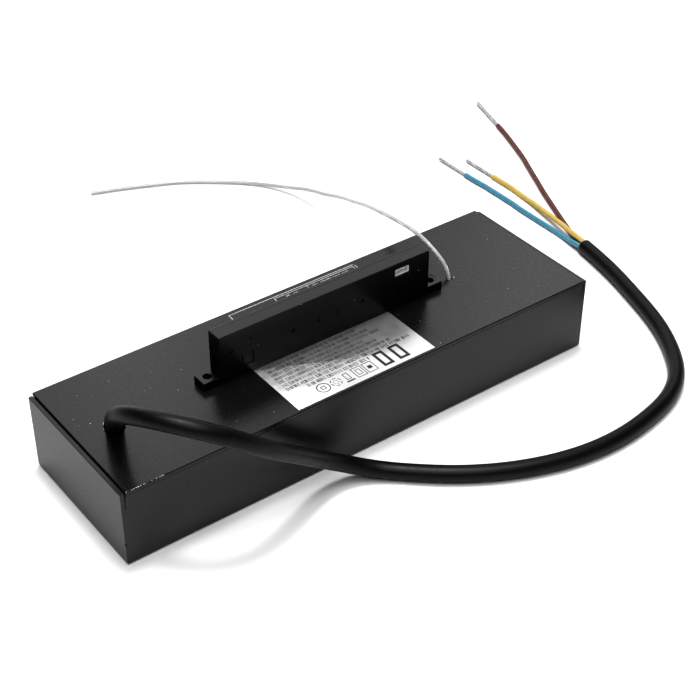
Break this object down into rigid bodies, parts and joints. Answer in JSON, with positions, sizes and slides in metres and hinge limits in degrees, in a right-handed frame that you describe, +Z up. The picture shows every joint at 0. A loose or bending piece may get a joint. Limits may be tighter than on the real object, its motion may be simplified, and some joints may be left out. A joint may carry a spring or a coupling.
{
  "type": "plug-in power supply",
  "caption": "Flat box power supply with a slim plug-in adapter bar on its lid, a cut mains lead with bare core ends and a thin clear-sheathed wire.",
  "frame": {"origin": "middle of the housing's underside, on the surface it stands on", "axes": "+X along the housing away from the mains lead's hole, +Z up out of the lid through the adapter, +Y away from the rating label"},
  "size_m": [0.2978, 0.2656, 0.0552],
  "materials": {
    "tray_paint": "fine satin black powder coat",
    "lid_paint": "fine satin black powder coat",
    "adapter_plastic": "satin black moulding",
    "label_foil": "satin silver foil, printed",
    "plated_contact": "tin plated",
    "zinc_steel": "zinc plated",
    "black_steel": "blackened",
    "board_green": "satin",
    "board_tan": "satin",
    "wire_red": "smooth",
    "wire_black": "smooth",
    "brass": "turned",
    "liner_film": "translucent film",
    "terminal_green": "moulded",
    "fuse_black": "moulded",
    "copper_winding": "lacquered winding",
    "capacitor_box": "moulded",
    "component_black": "moulded",
    "capacitor_sleeve": "shrink sleeve",
    "ferrite": "ground ferrite",
    "winding_tape": "taped",
    "bare_aluminium": "extruded",
    "clamp_nylon": "moulded",
    "lead_sheath": "satin black sheath",
    "core_brown_pvc": "smooth",
    "core_blue_pvc": "smooth",
    "core_yellow_pvc": "smooth",
    "tinned_strands": "tinned, twisted",
    "wire_sheath": "stranded steel in a clear sheath"
  },
  "bodies": {
    "root": {"base_tray": "tray_paint", "lid_plate": "lid_paint", "lid_pillars": "zinc_steel", "lid_screws": "black_steel", "rating_label": "label_foil", "adapter_body": "adapter_plastic", "adapter_back_cover": "adapter_plastic", "adapter_pins": "black_steel", "adapter_board": "board_green", "front_contact": "plated_contact", "rear_contact": "plated_contact", "adapter_screws": "zinc_steel", "output_lead_red": "wire_red", "output_lead_black": "wire_black", "driver_board": "board_tan", "board_spacers": "brass", "board_screws": "zinc_steel", "insulating_liner": "liner_film", "input_terminal": "terminal_green", "fuse": "fuse_black", "line_choke": "copper_winding", "filter_capacitor": "capacitor_box", "bridge_rectifier": "component_black", "bulk_capacitor": "capacitor_sleeve", "transformer_core": "ferrite", "transformer_winding": "winding_tape", "heatsink": "bare_aluminium", "power_transistor": "component_black", "transistor_screw": "zinc_steel", "output_capacitors": "capacitor_sleeve", "output_choke": "ferrite", "clamp_base": "clamp_nylon", "clamp_bridge": "clamp_nylon", "clamp_screws": "zinc_steel", "mains_lead_inside": "lead_sheath", "inner_core_brown": "core_brown_pvc", "inner_core_blue": "core_blue_pvc", "inner_core_earth": "core_yellow_pvc", "wire_stop": "bare_aluminium", "wire_inside": "wire_sheath", "mains_lead": "lead_sheath", "core_brown": "core_brown_pvc", "core_yellow": "core_yellow_pvc", "core_blue": "core_blue_pvc", "strands_brown": "tinned_strands", "strands_yellow": "tinned_strands", "strands_blue": "tinned_strands", "thin_wire": "wire_sheath"}
  },
  "joints": []
}
